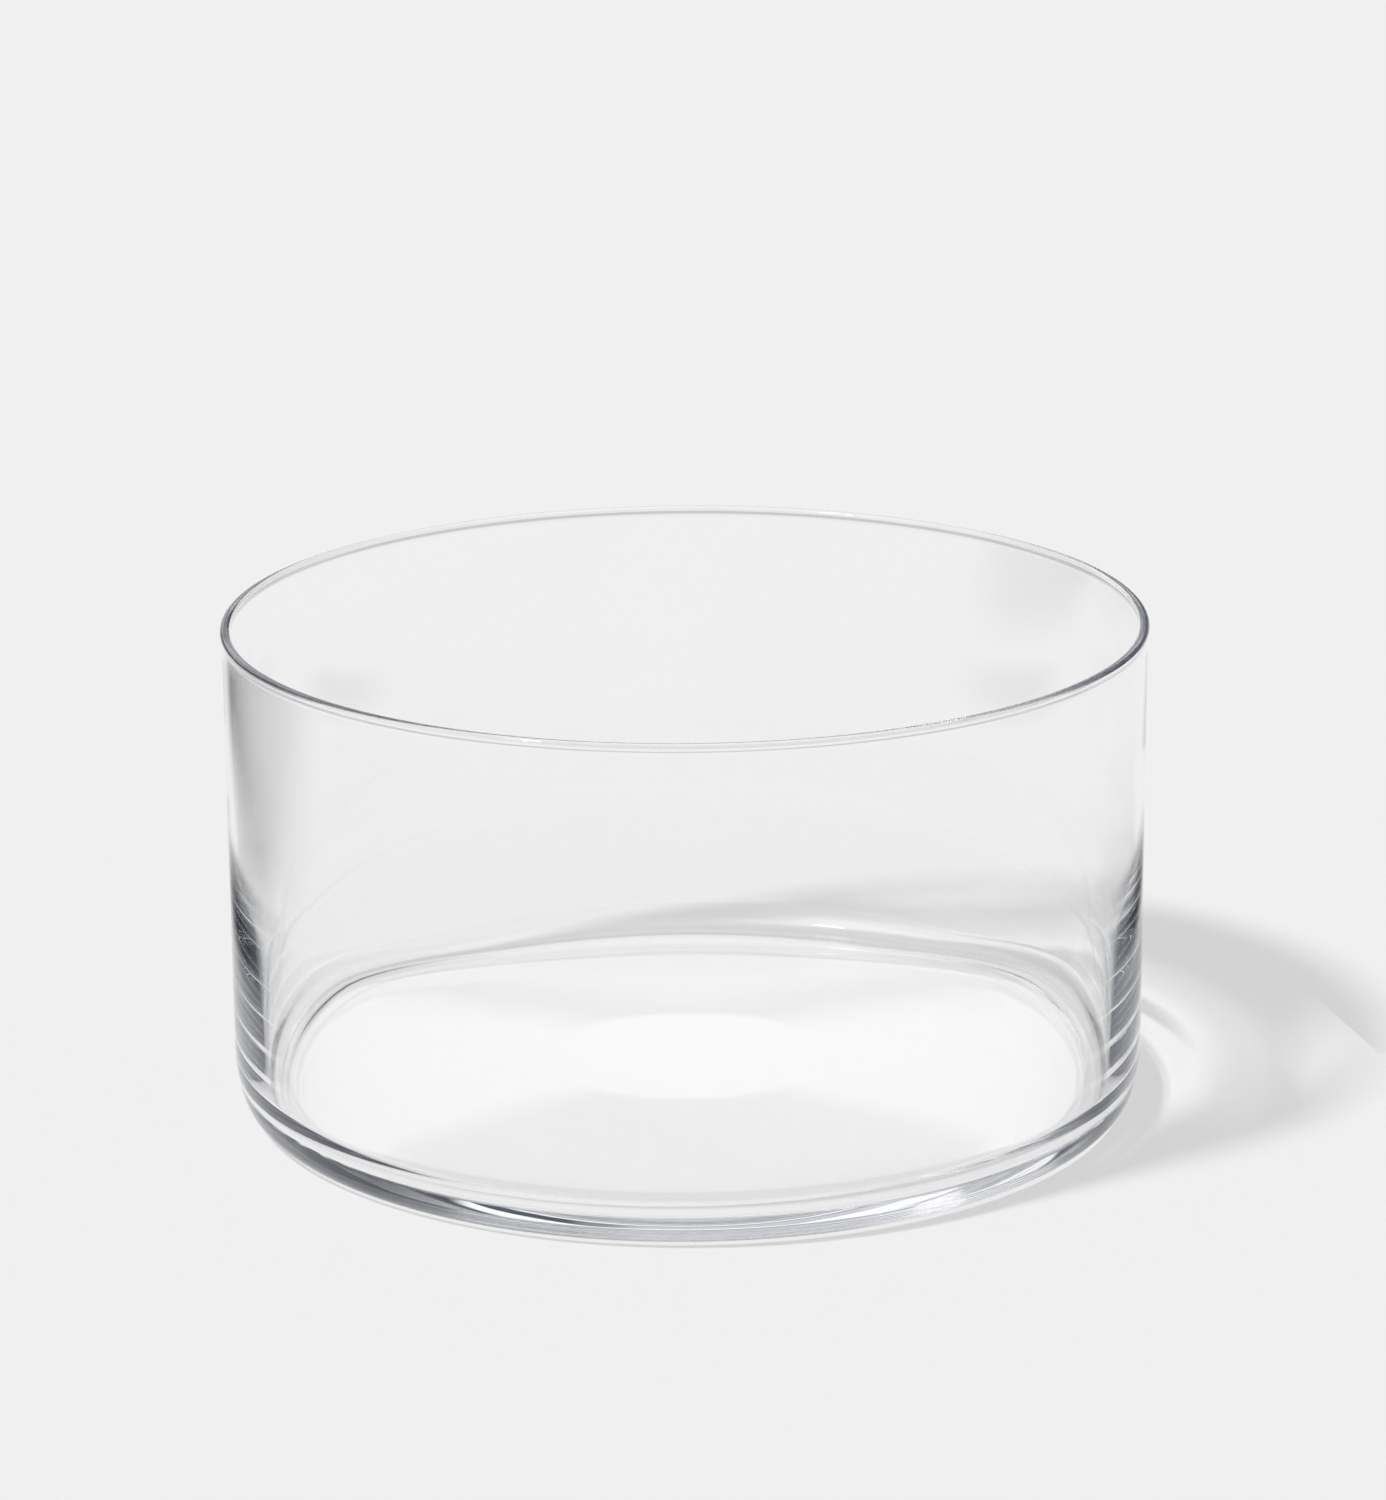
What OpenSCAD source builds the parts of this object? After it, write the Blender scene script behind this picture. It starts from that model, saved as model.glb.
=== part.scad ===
// Cylindrical clear glass serving bowl: a thin straight wall on a heavy base.
// One turned section makes the whole vessel. Origin at the middle of the foot, +Z up.

/* [Bowl] */
// Outside diameter across the rim bead
rim_d = 230; // [160:1:320]
// Height from the table to the top of the rim
bowl_h = 124; // [90:1:200]

/* [Wall] */
// Glass thickness of the upper wall, under the rim bead
wall_t = 2.1; // [1.6:0.1:3.5]
// Height above the table from which the wall thickens downwards
thicken_h = 72; // [60:1:80]
// Radius that turns the straight inside into the part that leans in
ease_r = 280; // [100:10:400]
// Angle that the inside leans in towards the foot of the wall
foot_lean = 3.5; // [1:0.5:6]

/* [Rim] */
// How far the fire-polished bead stands out from the outside wall
bead_proud = 0.4; // [0.1:0.1:1]
// Radius of the hollow that eases the bead into the outside wall
neck_r = 4; // [1:0.5:10]

/* [Base] */
// Glass thickness of the floor, above the foot ring
floor_t = 6; // [4:0.5:14]
// Radius of the inner corner between the floor and the wall
corner_r = 9; // [4:0.5:20]
// Radius of the outer heel where it leaves the wall
heel_upper_r = 40; // [15:1:80]
// Angle that the upper heel radius turns through
heel_upper_angle = 15; // [5:1:25]
// Radius of the outer heel where it runs into the foot
heel_lower_r = 7.5; // [3:0.5:12]

/* [Foot] */
// Width of the flat ring that bears on the table
foot_ring_w = 12; // [4:1:30]
// Rise of the shallow hollow under the floor
push_up_h = 0.8; // [0.4:0.1:2]
// Diameter of the flat middle of the hollow, which the rest slopes up to
push_up_flat_d = 60; // [20:2:100]

/* [Hidden] */
// Facets of a full turn in the preview mesh
turn_fn = 240;
// How far a cutting shape runs past the glass that it cuts
overrun = 1;

rim_r = rim_d / 2;
wall_r = rim_r - bead_proud;

// Bead: a round of glass as thick as the upper wall and its own projection
bead_r = (wall_t + bead_proud) / 2;
bead_at = [rim_r - bead_r, bowl_h - bead_r];

// Neck: a hollow that is tangent to the bead and to the outside wall
neck_x = wall_r + neck_r;
neck_drop = sqrt(pow(bead_r + neck_r, 2) - pow(neck_x - bead_at.x, 2));
neck_at = [neck_x, bead_at.y - neck_drop];

// Heel: two arcs, each tangent to its neighbours, from the wall down to the foot
heel_dir = [cos(heel_upper_angle), -sin(heel_upper_angle)];
heel_step = heel_upper_r - heel_lower_r;
heel_upper_at = [wall_r - heel_upper_r, heel_lower_r + heel_step * sin(heel_upper_angle)];
heel_lower_at = heel_upper_at + heel_step * heel_dir;
heel_join = heel_upper_at + heel_upper_r * heel_dir;
foot_r = heel_lower_at.x;

// Inside: straight down from the bead, an arc into the lean, then the corner arc
inner_r = wall_r - wall_t;
lean_dir = [cos(foot_lean), -sin(foot_lean)];
ease_at = [inner_r - ease_r, thicken_h];
ease_foot = ease_at + ease_r * lean_dir;
corner_top_y = floor_t + corner_r * (1 - sin(foot_lean));
corner_top = [ease_foot.x - (ease_foot.y - corner_top_y) * tan(foot_lean), corner_top_y];
corner_at = corner_top - corner_r * lean_dir;

// Inner edge of the ring that bears on the table
ring_inner_r = foot_r - foot_ring_w;

// A slice of a disc, from one direction round to another, both as unit vectors
module disc_slice(centre, radius, from_dir, to_dir) {
    half = acos(from_dir * to_dir) / 2;
    reach = radius / cos(half) + overrun;
    intersection() {
        translate(centre) circle(r = radius, $fn = turn_fn);
        polygon([centre, centre + reach * from_dir, centre + reach * to_dir]);
    }
}

// The space inside the outer surface, as if the bowl were solid
module outer_section() {
    polygon([
        [0, 0],
        [foot_r, 0],
        heel_join,
        [wall_r, heel_upper_at.y],
        [wall_r, neck_at.y],
        bead_at,
        [0, bead_at.y]
    ]);
    disc_slice(heel_lower_at, heel_lower_r, [0, -1], heel_dir);
    disc_slice(heel_upper_at, heel_upper_r, heel_dir, [1, 0]);
    translate(bead_at) circle(r = bead_r, $fn = turn_fn);
    difference() {
        polygon([[bead_at.x, neck_at.y], neck_at, bead_at]);
        translate(neck_at) circle(r = neck_r, $fn = turn_fn);
    }
}

// The space that the bowl holds
module inner_section() {
    polygon([
        [0, floor_t],
        [corner_at.x, floor_t],
        corner_top,
        ease_foot,
        [inner_r, thicken_h],
        [inner_r, bead_at.y],
        [0, bead_at.y]
    ]);
    disc_slice(ease_at, ease_r, lean_dir, [1, 0]);
    disc_slice(corner_at, corner_r, [0, -1], lean_dir);
}

// The shallow hollow that lifts the middle of the underside off the table
module push_up_section() {
    polygon([
        [0, -overrun],
        [ring_inner_r, -overrun],
        [ring_inner_r, 0],
        [push_up_flat_d / 2, push_up_h],
        [0, push_up_h]
    ]);
}

module bowl() {
    color([0.93, 0.95, 0.96, 0.4])
        rotate_extrude($fn = turn_fn)
            difference() {
                outer_section();
                inner_section();
                push_up_section();
            }
}

bowl();
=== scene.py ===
"""A clear glass serving bowl on a pale table, in soft studio light.

The bowl is one body of glass, turned from one section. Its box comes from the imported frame, and the
sizes that the box can't give are fields of BowlSection, the same as the part's own.
"""

import logging
import math
from dataclasses import dataclass, field
from enum import Enum

import bpy
from mathutils import Matrix, Vector


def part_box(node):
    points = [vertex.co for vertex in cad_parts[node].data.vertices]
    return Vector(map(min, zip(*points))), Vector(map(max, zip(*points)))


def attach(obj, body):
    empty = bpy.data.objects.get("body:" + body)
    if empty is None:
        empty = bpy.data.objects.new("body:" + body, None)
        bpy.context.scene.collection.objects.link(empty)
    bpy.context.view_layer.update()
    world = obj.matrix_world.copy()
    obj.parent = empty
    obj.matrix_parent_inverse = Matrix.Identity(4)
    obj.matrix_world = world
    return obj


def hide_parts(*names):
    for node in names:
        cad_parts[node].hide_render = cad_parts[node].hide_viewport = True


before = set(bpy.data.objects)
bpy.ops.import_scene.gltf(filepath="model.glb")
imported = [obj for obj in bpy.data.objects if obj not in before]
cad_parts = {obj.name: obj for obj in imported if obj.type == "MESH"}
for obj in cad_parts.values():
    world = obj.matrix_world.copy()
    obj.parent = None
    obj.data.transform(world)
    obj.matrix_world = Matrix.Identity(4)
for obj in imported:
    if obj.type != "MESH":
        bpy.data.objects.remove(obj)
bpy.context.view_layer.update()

MM = 0.001
PHOTO_SIZE = (1386, 1500)
QUARTER_TURN = math.pi / 2
# Between a Light Path count of none and of one
HALF = 0.5

Colour = tuple[float, float, float]

logging.basicConfig(level=logging.INFO, format="%(message)s")
log = logging.getLogger("bowl")


class Side(Enum):
    """Which way round an arc of the section is walked."""

    ANTICLOCKWISE = 1
    CLOCKWISE = -1


def unit(angle: float) -> Vector:
    """The direction of an angle in the section's plane, radius first and height second."""
    return Vector((math.cos(angle), math.sin(angle)))


@dataclass(frozen=True)
class Arc:
    """A round part of the section, tangent to its neighbours."""

    centre: Vector
    radius: float
    start: float
    end: float
    side: Side
    fewest_steps: int = 6

    def points(self, step: float) -> list[Vector]:
        """Walks the arc from its start to its end.

        Args:
            step: the largest turn between two points, in radians.

        Returns:
            The points, both ends among them.
        """
        sweep = self.end - self.start
        while sweep * self.side.value < 0:
            sweep += self.side.value * math.tau
        count = max(self.fewest_steps, math.ceil(abs(sweep) / step))
        angles = (self.start + sweep * i / count for i in range(count + 1))
        return [self.centre + self.radius * unit(a) for a in angles]


@dataclass
class BowlSection:
    """The section that the bowl is turned from, as (radius, height) points in metres."""

    rim_r: float
    height: float
    wall_t: float = 2.1 * MM
    ease_top: float = 72 * MM
    ease_r: float = 280 * MM
    foot_lean: float = math.radians(3.5)
    bead_proud: float = 0.4 * MM
    neck_r: float = 4 * MM
    floor_t: float = 6 * MM
    corner_r: float = 9 * MM
    heel_upper_r: float = 40 * MM
    heel_upper_angle: float = math.radians(15)
    heel_lower_r: float = 7.5 * MM
    foot_ring_w: float = 12 * MM
    push_up_h: float = 0.8 * MM
    push_up_flat_r: float = 30 * MM
    arc_step: float = math.radians(4)
    straight_step: float = 4 * MM
    smallest_gap: float = 0.01 * MM

    def __post_init__(self) -> None:
        """Works out the centres that the sizes give."""
        self.wall_r = self.rim_r - self.bead_proud
        self.bead_r = (self.wall_t + self.bead_proud) / 2
        self.bead_at = Vector((self.rim_r - self.bead_r, self.height - self.bead_r))
        neck_x = self.wall_r + self.neck_r
        reach = self.bead_r + self.neck_r
        drop = math.sqrt(reach**2 - (neck_x - self.bead_at.x) ** 2)
        self.neck_at = Vector((neck_x, self.bead_at.y - drop))
        heel_step = self.heel_upper_r - self.heel_lower_r
        rise = self.heel_lower_r + heel_step * math.sin(self.heel_upper_angle)
        self.heel_upper_at = Vector((self.wall_r - self.heel_upper_r, rise))
        self.heel_lower_at = self.heel_upper_at + heel_step * unit(-self.heel_upper_angle)
        inner_r = self.rim_r - 2 * self.bead_r
        self.ease_at = Vector((inner_r - self.ease_r, self.ease_top))
        ease_foot = self.ease_at + self.ease_r * unit(-self.foot_lean)
        corner_y = self.floor_t + self.corner_r
        fall = ease_foot.y - (corner_y - self.corner_r * math.sin(self.foot_lean))
        corner_top_x = ease_foot.x - fall * math.tan(self.foot_lean)
        corner_x = corner_top_x - self.corner_r * math.cos(self.foot_lean)
        self.corner_at = Vector((corner_x, corner_y))
        self.ring_inner_r = self.heel_lower_at.x - self.foot_ring_w

    def arcs(self) -> list[Arc]:
        """Lists the round parts.

        Returns:
            The arcs in order, from the underside out, up, over the rim and down inside.
        """
        towards_bead = self.bead_at - self.neck_at
        neck = math.atan2(towards_bead.y, towards_bead.x)
        heel = -self.heel_upper_angle
        inwards, outwards = Side.CLOCKWISE, Side.ANTICLOCKWISE
        return [
            Arc(self.heel_lower_at, self.heel_lower_r, -QUARTER_TURN, heel, outwards),
            Arc(self.heel_upper_at, self.heel_upper_r, heel, 0, outwards),
            Arc(self.neck_at, self.neck_r, math.pi, neck, inwards),
            Arc(self.bead_at, self.bead_r, neck - math.pi, math.pi, outwards),
            Arc(self.ease_at, self.ease_r, 0, -self.foot_lean, inwards),
            Arc(self.corner_at, self.corner_r, -self.foot_lean, -QUARTER_TURN, inwards),
        ]

    def outline(self) -> list[Vector]:
        """Walks the whole section.

        Returns:
            Points from the middle of the underside to the middle of the floor, with more of them
            along each long straight, so that it shades flat.
        """
        walk = [Vector((0, self.push_up_h))]
        ceiling_edge = Vector((self.push_up_flat_r, self.push_up_h))
        ring_edge = Vector((self.ring_inner_r, 0))
        floor_middle = Vector((0, self.floor_t))
        round_parts = [arc.points(self.arc_step) for arc in self.arcs()]
        for run in [[ceiling_edge], [ring_edge], *round_parts, [floor_middle]]:
            walk += self._along(walk[-1], run[0]) + run
        apart = self.smallest_gap
        return [p for i, p in enumerate(walk) if i == 0 or (p - walk[i - 1]).length > apart]

    def _along(self, start: Vector, end: Vector) -> list[Vector]:
        """Divides a straight.

        Args:
            start: its first end.
            end: its last end.

        Returns:
            The evenly spaced points between the ends, none on a short straight.
        """
        count = max(1, round((end - start).length / self.straight_step))
        return [start.lerp(end, i / count) for i in range(1, count)]


def maths_node(
    tree: bpy.types.NodeTree, operation: str, *values: float | bpy.types.NodeSocket
) -> bpy.types.NodeSocket:
    """Adds a Math node and feeds it.

    Args:
        tree: the node tree to add to.
        operation: the node's operation.
        values: its inputs in order, each a number or a socket.

    Returns:
        The node's result.
    """
    node = tree.nodes.new("ShaderNodeMath")
    node.operation = operation
    for socket, value in zip(node.inputs, values):
        if isinstance(value, bpy.types.NodeSocket):
            tree.links.new(value, socket)
        else:
            socket.default_value = value
    return node.outputs["Value"]


def lerp_node(
    tree: bpy.types.NodeTree,
    mask: bpy.types.NodeSocket,
    start: bpy.types.NodeSocket,
    end: Colour,
) -> bpy.types.NodeSocket:
    """Mixes from a colour socket to a set colour.

    Args:
        tree: the node tree to add to.
        mask: 0 for the start and 1 for the end.
        start: the socket with the first colour.
        end: the second colour.

    Returns:
        The mixed colour's socket.
    """
    node = tree.nodes.new("ShaderNodeMix")
    node.data_type = "RGBA"
    tree.links.new(mask, node.inputs["Factor"])
    tree.links.new(start, node.inputs["A"])
    node.inputs["B"].default_value = (*end, 1)
    return node.outputs["Result"]


def band_node(
    tree: bpy.types.NodeTree, value: bpy.types.NodeSocket, low: float, high: float, soft: float
) -> bpy.types.NodeSocket:
    """Makes a mask that is 1 while a value is in a range and fades out beside it.

    Args:
        tree: the node tree to add to.
        value: the socket to test.
        low: the lower end of the full band.
        high: the upper end of the full band.
        soft: the width of each fade outside the band.

    Returns:
        The mask's socket.
    """
    off = maths_node(tree, "ABSOLUTE", maths_node(tree, "SUBTRACT", value, (low + high) / 2))
    fade = tree.nodes.new("ShaderNodeMapRange")
    fade.interpolation_type = "SMOOTHSTEP"
    tree.links.new(off, fade.inputs["Value"])
    fade.inputs["From Min"].default_value = (high - low) / 2
    fade.inputs["From Max"].default_value = (high - low) / 2 + soft
    fade.inputs["To Min"].default_value = 1
    fade.inputs["To Max"].default_value = 0
    return fade.outputs["Result"]


@dataclass(frozen=True)
class ClearGlass:
    """Clear, colourless, fire-polished soda-lime glass with a faint cast where it is thick."""

    ior: float = 1.52
    cast: Colour = (0.29, 0.32, 0.40)
    cast_density: float = 1.6
    underside_top: float = 1 * MM
    lets_through: float = 0.97
    wave_scale: float = 18
    wave_height: float = 0.6 * MM
    wave_strength: float = 0.08

    def material(self) -> bpy.types.Material:
        """Makes the glass with its nodes.

        Returns:
            Smooth glass that absorbs a little with depth. The rays that look for the lamps from
            under the foot go straight through it, so that the floor stays as bright as the table.
        """
        material = bpy.data.materials.new("clear_glass")
        material.use_nodes = True
        tree = material.node_tree
        tree.nodes.clear()
        out = tree.nodes.new("ShaderNodeOutputMaterial")
        glass = tree.nodes.new("ShaderNodeBsdfGlass")
        glass.inputs["IOR"].default_value = self.ior
        glass.inputs["Roughness"].default_value = 0
        glass.inputs["Color"].default_value = (1, 1, 1, 1)
        tree.links.new(self._faint_waves(tree), glass.inputs["Normal"])
        clear = tree.nodes.new("ShaderNodeBsdfTransparent")
        clear.inputs["Color"].default_value = (*[self.lets_through] * 3, 1)
        mix = tree.nodes.new("ShaderNodeMixShader")
        tree.links.new(self._straight_through(tree), mix.inputs["Fac"])
        tree.links.new(glass.outputs["BSDF"], mix.inputs[1])
        tree.links.new(clear.outputs["BSDF"], mix.inputs[2])
        tree.links.new(mix.outputs["Shader"], out.inputs["Surface"])
        depth = tree.nodes.new("ShaderNodeVolumeAbsorption")
        depth.inputs["Color"].default_value = (*self.cast, 1)
        depth.inputs["Density"].default_value = self.cast_density
        tree.links.new(depth.outputs["Volume"], out.inputs["Volume"])
        return material

    def _faint_waves(self, tree: bpy.types.NodeTree) -> bpy.types.NodeSocket:
        """Makes the slow, faint unevenness that a fire-polished surface keeps from its mould.

        Args:
            tree: the glass's node tree.

        Returns:
            The socket with the surface's direction.
        """
        noise = tree.nodes.new("ShaderNodeTexNoise")
        noise.inputs["Scale"].default_value = self.wave_scale
        noise.inputs["Detail"].default_value = 1
        place = tree.nodes.new("ShaderNodeTexCoord").outputs["Object"]
        tree.links.new(place, noise.inputs["Vector"])
        bump = tree.nodes.new("ShaderNodeBump")
        bump.inputs["Strength"].default_value = self.wave_strength
        bump.inputs["Distance"].default_value = self.wave_height
        tree.links.new(noise.outputs["Fac"], bump.inputs["Height"])
        return bump.outputs["Normal"]

    def _straight_through(self, tree: bpy.types.NodeTree) -> bpy.types.NodeSocket:
        """Finds the rays that look for the lamps from under the foot.

        Args:
            tree: the glass's node tree.

        Returns:
            The socket of a mask that is 1 for these rays.
        """
        rays = tree.nodes.new("ShaderNodeLightPath").outputs
        place = tree.nodes.new("ShaderNodeSeparateXYZ")
        coordinates = tree.nodes.new("ShaderNodeTexCoord").outputs["Object"]
        tree.links.new(coordinates, place.inputs["Vector"])
        underside = maths_node(tree, "LESS_THAN", place.outputs["Z"], self.underside_top)
        beyond = maths_node(tree, "GREATER_THAN", rays["Transparent Depth"], HALF)
        open_to_lamps = maths_node(tree, "MAXIMUM", underside, beyond)
        return maths_node(tree, "MULTIPLY", open_to_lamps, rays["Is Shadow Ray"])


@dataclass
class GlassBowl:
    """The bowl: its section turned round the axis, and the glass that it is made of."""

    section: BowlSection
    turn_steps: int = 360
    merge_distance: float = 0.002 * MM
    first_plane: float = 1 * MM
    glass: ClearGlass = field(default_factory=ClearGlass)

    def build(self) -> bpy.types.Object:
        """Draws the section, turns it and dresses it.

        Returns:
            The finished bowl, riding on its body in place of the CAD node.
        """
        piece = self._draw_section()
        self._turn(piece)
        piece.data.materials.append(self.glass.material())
        piece.cycles.is_caustics_caster = True
        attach(piece, "root")
        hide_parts("bowl")
        return piece

    def _draw_section(self) -> bpy.types.Object:
        """Draws the section as one line of points, extruded from a single corner.

        Returns:
            The line's object.
        """
        bpy.ops.object.select_all(action="DESELECT")
        bpy.ops.mesh.primitive_plane_add(size=self.first_plane)
        piece = bpy.context.object
        piece.name = piece.data.name = "glass_bowl"
        points = [Vector((p.x, 0, p.y)) for p in self.section.outline()]
        bpy.ops.object.mode_set(mode="EDIT")
        bpy.ops.mesh.merge(type="CENTER")
        bpy.ops.transform.translate(value=points[0])
        for start, end in zip(points, points[1:]):
            bpy.ops.mesh.extrude_region_move(TRANSFORM_OT_translate={"value": end - start})
        bpy.ops.object.mode_set(mode="OBJECT")
        return piece

    def _turn(self, piece: bpy.types.Object) -> None:
        """Spins the section round the axis and closes the seam and the two poles.

        Args:
            piece: the active object, with the section's line in its mesh.
        """
        bpy.ops.object.mode_set(mode="EDIT")
        bpy.ops.mesh.select_all(action="SELECT")
        bpy.ops.mesh.spin(steps=self.turn_steps, angle=math.tau, center=(0, 0, 0), axis=(0, 0, 1))
        bpy.ops.mesh.select_all(action="SELECT")
        bpy.ops.mesh.remove_doubles(threshold=self.merge_distance)
        bpy.ops.mesh.normals_make_consistent(inside=False)
        bpy.ops.object.mode_set(mode="OBJECT")
        bpy.ops.object.shade_smooth()


@dataclass(frozen=True)
class PhotoCamera:
    """The photograph's view: where it stood, how it was turned and its lens."""

    aim: tuple[float, float, float] = (1.84 * MM, 0, 88.9 * MM)
    distance: float = 1.300
    elevation: float = math.radians(16.42)
    roll: float = math.radians(-0.4)
    focal_px: float = 5200
    sensor_mm: float = 36
    nearest: float = 0.01
    furthest: float = 40

    def place(self) -> bpy.types.Object:
        """Adds the camera and makes it the scene's own.

        Returns:
            The camera.
        """
        back = Vector((0, -math.cos(self.elevation), math.sin(self.elevation)))
        tilt = Matrix.Rotation(QUARTER_TURN - self.elevation, 3, "X")
        turn = tilt @ Matrix.Rotation(self.roll, 3, "Z")
        bpy.ops.object.camera_add(
            location=Vector(self.aim) + self.distance * back, rotation=turn.to_euler()
        )
        camera = bpy.context.object
        camera.name = "photo_camera"
        camera.data.sensor_width = self.sensor_mm
        camera.data.lens = self.focal_px / max(PHOTO_SIZE) * self.sensor_mm
        camera.data.clip_start = self.nearest
        camera.data.clip_end = self.furthest
        bpy.context.scene.camera = camera
        return camera


@dataclass(frozen=True)
class Panel:
    """A soft patch of the room, where only the glass shows it.

    Its sides are bearings in degrees, to the right of straight behind the bowl. Its ends are the
    sines of elevations.
    """

    left: float
    right: float
    low: float
    high: float
    shade: Colour
    soft_turn: float = 4
    soft_height: float = 0.05

    def over(
        self,
        tree: bpy.types.NodeTree,
        bearing: bpy.types.NodeSocket,
        height: bpy.types.NodeSocket,
        room: bpy.types.NodeSocket,
    ) -> bpy.types.NodeSocket:
        """Lays the patch over the room.

        Args:
            tree: the world's node tree.
            bearing: the ray's bearing, in radians, to the right of straight behind.
            height: the sine of the ray's elevation.
            room: the colour of the room so far.

        Returns:
            The colour with this patch in it.
        """
        left, right, soft = map(math.radians, (self.left, self.right, self.soft_turn))
        across = band_node(tree, bearing, left, right, soft)
        up = band_node(tree, height, self.low, self.high, self.soft_height)
        return lerp_node(tree, maths_node(tree, "MULTIPLY", across, up), room, self.shade)


@dataclass(frozen=True)
class SoftCard:
    """A soft-edged card that lies beside the bowl, where only the glass picks it up.

    Its turn is in degrees, anticlockwise from above. Its fade is a share of its own size.
    """

    name: str
    centre: tuple[float, float]
    size: tuple[float, float]
    turn: float
    grey: float
    fade: float = 0.3
    lift: float = 0.6 * MM

    def lay(self) -> bpy.types.Object:
        """Puts the card down and keeps it out of the camera's and the lamps' way.

        Returns:
            The card.
        """
        bpy.ops.object.select_all(action="DESELECT")
        bpy.ops.mesh.primitive_plane_add(size=1)
        card = bpy.context.object
        card.name = self.name
        bpy.ops.object.mode_set(mode="EDIT")
        bpy.ops.mesh.select_all(action="SELECT")
        bpy.ops.transform.resize(value=(*self.size, 1))
        bpy.ops.transform.rotate(
            value=-math.radians(self.turn), orient_axis="Z", center_override=(0, 0, 0)
        )
        bpy.ops.transform.translate(value=(*self.centre, self.lift))
        bpy.ops.object.mode_set(mode="OBJECT")
        card.visible_camera = card.visible_diffuse = card.visible_shadow = False
        card.data.materials.append(self._material())
        return card

    def _material(self) -> bpy.types.Material:
        """Makes matt card that fades to nothing at its edges.

        Returns:
            The card's material.
        """
        material = bpy.data.materials.new(self.name)
        material.use_nodes = True
        tree = material.node_tree
        tree.nodes.clear()
        place = tree.nodes.new("ShaderNodeSeparateXYZ")
        tree.links.new(tree.nodes.new("ShaderNodeTexCoord").outputs["UV"], place.inputs["Vector"])
        sides = [
            band_node(tree, place.outputs[axis], self.fade, 1 - self.fade, self.fade)
            for axis in ("X", "Y")
        ]
        matt = tree.nodes.new("ShaderNodeBsdfDiffuse")
        matt.inputs["Color"].default_value = (*[self.grey] * 3, 1)
        mix = tree.nodes.new("ShaderNodeMixShader")
        tree.links.new(maths_node(tree, "MULTIPLY", *sides), mix.inputs["Fac"])
        tree.links.new(tree.nodes.new("ShaderNodeBsdfTransparent").outputs["BSDF"], mix.inputs[1])
        tree.links.new(matt.outputs["BSDF"], mix.inputs[2])
        out = tree.nodes.new("ShaderNodeOutputMaterial")
        tree.links.new(mix.outputs["Shader"], out.inputs["Surface"])
        return material


@dataclass(frozen=True)
class TableFinish:
    """Plain, pale, fully matt table top."""

    grey: float = 0.88

    def material(self) -> bpy.types.Material:
        """Makes the finish.

        Returns:
            A matt material of one pale grey.
        """
        material = bpy.data.materials.new("table_finish")
        material.use_nodes = True
        shader = material.node_tree.nodes["Principled BSDF"]
        shader.inputs["Base Color"].default_value = (*[self.grey] * 3, 1)
        shader.inputs["Roughness"].default_value = 1
        shader.inputs["Specular IOR Level"].default_value = 0
        return material


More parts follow.
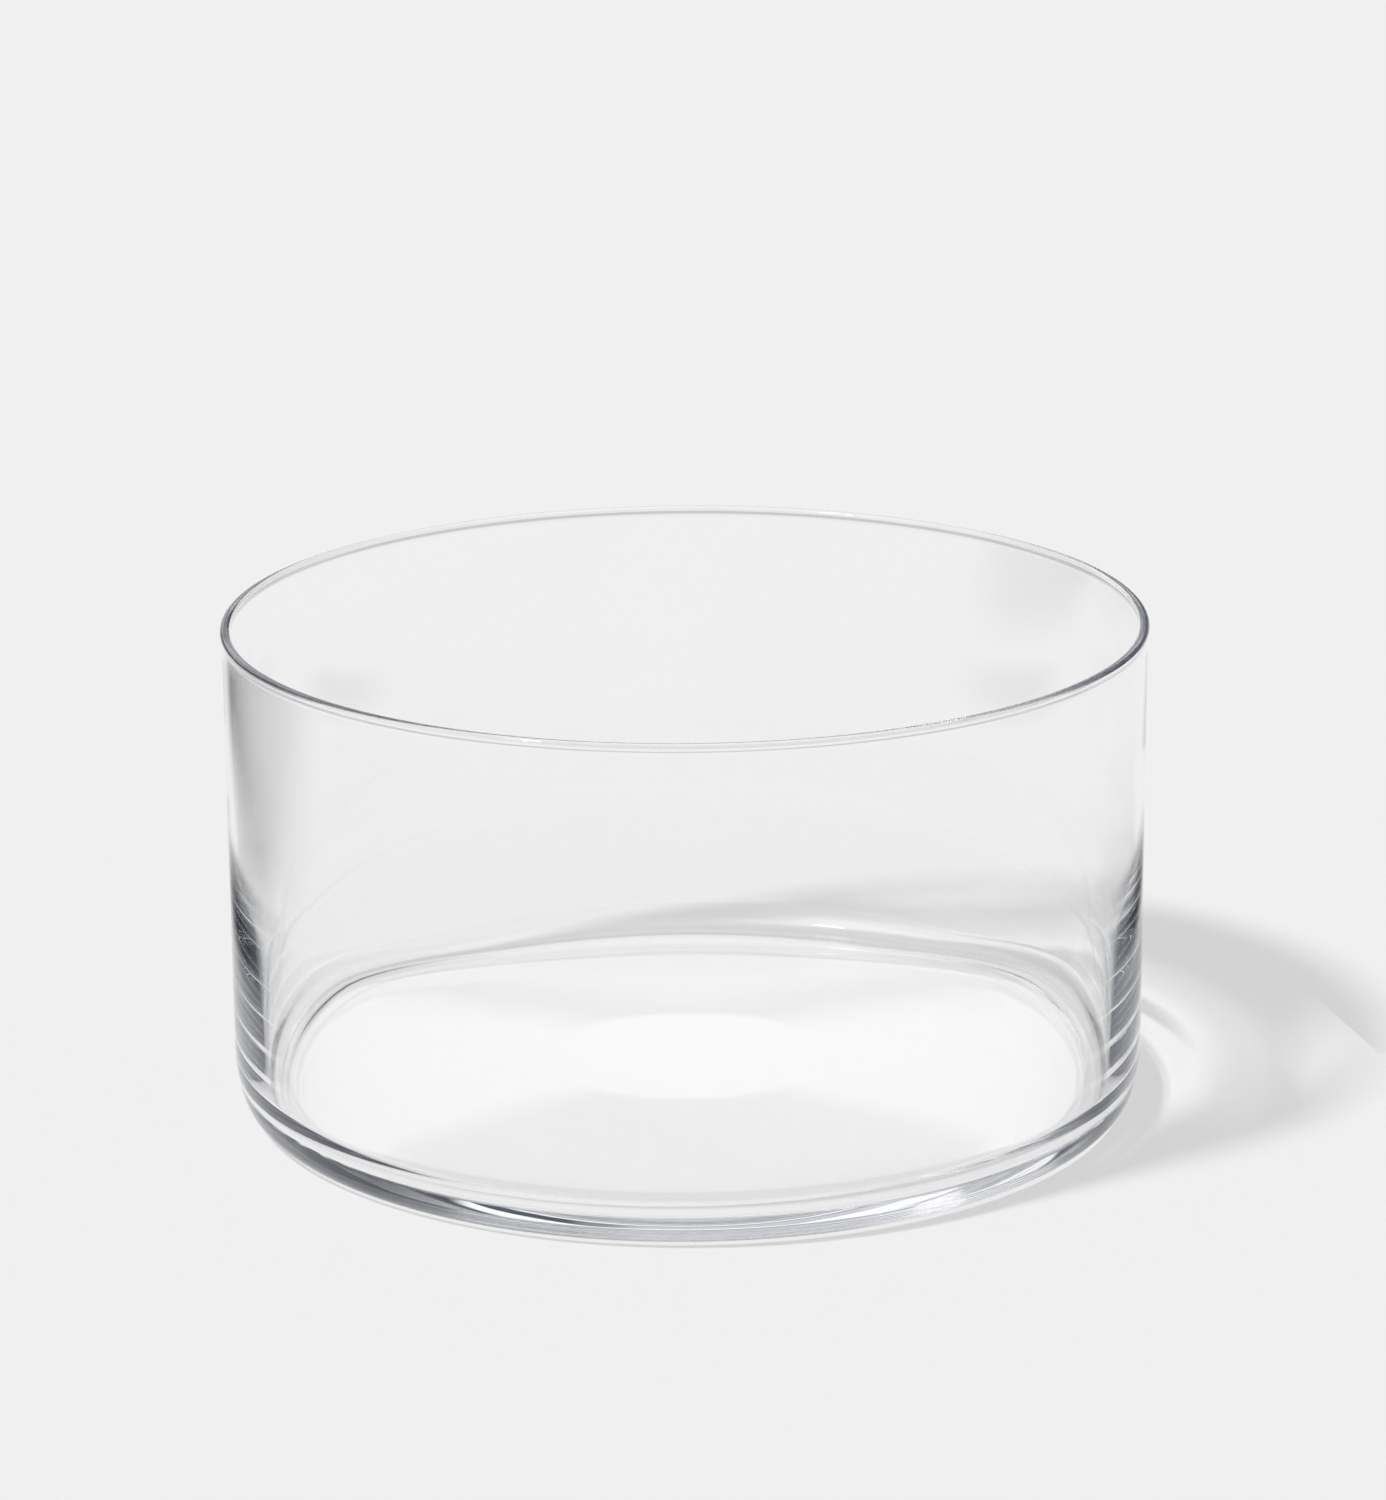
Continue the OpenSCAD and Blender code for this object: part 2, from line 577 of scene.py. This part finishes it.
@dataclass(frozen=True)
class Studio:
    """A pale table that runs back without an edge, a room that the glass shows and a key light.

    The room is a list of greys by the sine of the elevation, and the panels lie over it in order.
    """

    table_half: float = 6
    table_drop: float = 0.05 * MM
    table_finish: TableFinish = TableFinish()
    fill: float = 0.74
    room: tuple[tuple[float, float], ...] = (
        (0, 0.30),
        (0.25, 0.30),
        (0.30, 1.35),
        (0.395, 1.35),
        (0.43, 0.35),
        (0.54, 0.05),
        (0.75, 0.05),
        (0.90, 1.1),
    )
    panels: tuple[Panel, ...] = (
        # The dark sides of the room, which darken the rim and the foot of the wall
        Panel(24, 184, -0.05, 0.62, (0.05, 0.06, 0.08)),
        Panel(-184, -47, -0.05, 0.48, (0.08, 0.09, 0.12)),
        Panel(-60, -24, -0.05, 0.11, (0.05, 0.06, 0.08)),
        # The windows that light the right of the base
        Panel(-140, -66, 0.56, 0.84, (1.15, 1.15, 1.15)),
        Panel(-41, -20, 0.16, 0.60, (1.25, 1.25, 1.25)),
        # The grey and the dark streak along the front of the base
        Panel(-18, 3, 0.02, 0.20, (0.75, 0.76, 0.80)),
        Panel(10, 19, 0.08, 0.22, (0.03, 0.05, 0.08), soft_turn=2),
    )
    cards: tuple[SoftCard, ...] = (
        SoftCard("card_left_back", (-0.400, 0.220), (0.40, 0.48), 0, 0.03),
        SoftCard("strip_left", (-0.188, 0.105), (0.076, 0.220), -12, 0.03, fade=0.45),
        SoftCard("strip_right", (0.186, 0.125), (0.066, 0.200), 14, 0.03, fade=0.45),
        SoftCard("card_far", (0, 2.4), (5, 3), 0, 0.60, fade=0.15),
    )
    key_way: tuple[float, float, float] = (69, 47, -124)
    key_angle: float = math.radians(7)
    key_strength: float = 0.95
    bounces: int = 200

    def build(self) -> None:
        """Lays the table, lights it and lets light bounce inside thick glass."""
        self._table()
        for card in self.cards:
            card.lay()
        self._world()
        self._key()
        cycles = bpy.context.scene.cycles
        cycles.blur_glossy = 0
        cycles.max_bounces = self.bounces
        cycles.glossy_bounces = self.bounces
        cycles.transmission_bounces = self.bounces

    def _table(self) -> None:
        """Lays the table top, a hair below the bowl's foot."""
        bpy.ops.object.select_all(action="DESELECT")
        bpy.ops.mesh.primitive_plane_add(size=2 * self.table_half, location=(0, 0, -self.table_drop))
        table = bpy.context.object
        table.name = "table"
        table.cycles.is_caustics_receiver = True
        table.data.materials.append(self.table_finish.material())

    def _world(self) -> None:
        """Makes the room as the glass shows it, and an even fill light for the table."""
        world = bpy.data.worlds.new("studio")
        world.use_nodes = True
        tree = world.node_tree
        way = tree.nodes.new("ShaderNodeSeparateXYZ")
        directions = tree.nodes.new("ShaderNodeTexCoord").outputs["Generated"]
        tree.links.new(directions, way.inputs["Vector"])
        bearing = maths_node(tree, "ARCTAN2", way.outputs["X"], way.outputs["Y"])
        room = self._greys(tree, way.outputs["Z"])
        for panel in self.panels:
            room = panel.over(tree, bearing, way.outputs["Z"], room)
        rays = tree.nodes.new("ShaderNodeLightPath").outputs
        lights_table = maths_node(tree, "GREATER_THAN", rays["Diffuse Depth"], HALF)
        either = lerp_node(tree, lights_table, room, (self.fill,) * 3)
        tree.links.new(either, tree.nodes["Background"].inputs["Color"])
        world.cycles.sampling_method = "NONE"
        bpy.context.scene.world = world

    def _greys(
        self, tree: bpy.types.NodeTree, height: bpy.types.NodeSocket
    ) -> bpy.types.NodeSocket:
        """Makes the room's greys, from its foot up.

        Args:
            tree: the world's node tree.
            height: the sine of the ray's elevation.

        Returns:
            The grey's socket.
        """
        ramp = tree.nodes.new("ShaderNodeValToRGB")
        tree.links.new(height, ramp.inputs["Fac"])
        stops = ramp.color_ramp.elements
        for place, grey in self.room[1:-1]:
            stops.new(place).color = (grey, grey, grey, 1)
        for stop, (place, grey) in ((stops[0], self.room[0]), (stops[-1], self.room[-1])):
            stop.position, stop.color = place, (grey, grey, grey, 1)
        return ramp.outputs["Color"]

    def _key(self) -> None:
        """Adds the key light, from the front left."""
        bpy.ops.object.light_add(type="SUN")
        key = bpy.context.object
        key.name = "key_light"
        key.data.angle = self.key_angle
        key.data.energy = self.key_strength
        key.data.cycles.is_caustics_light = True
        key.rotation_euler = Vector(self.key_way).to_track_quat("-Z", "Y").to_euler()


def main() -> None:
    """Builds the bowl, the studio and the camera."""
    low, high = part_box("bowl")
    section = BowlSection(rim_r=(high.x - low.x) / 2, height=high.z)
    bowl = GlassBowl(section).build()
    log.info("bowl: %d faces on body root", len(bowl.data.polygons))
    Studio().build()
    log.info("studio: table, world and key light")
    camera = PhotoCamera().place()
    log.info("camera: %.1f mm lens", camera.data.lens)
    bpy.context.scene.view_settings.view_transform = "Standard"


if __name__ == "__main__":
    main()
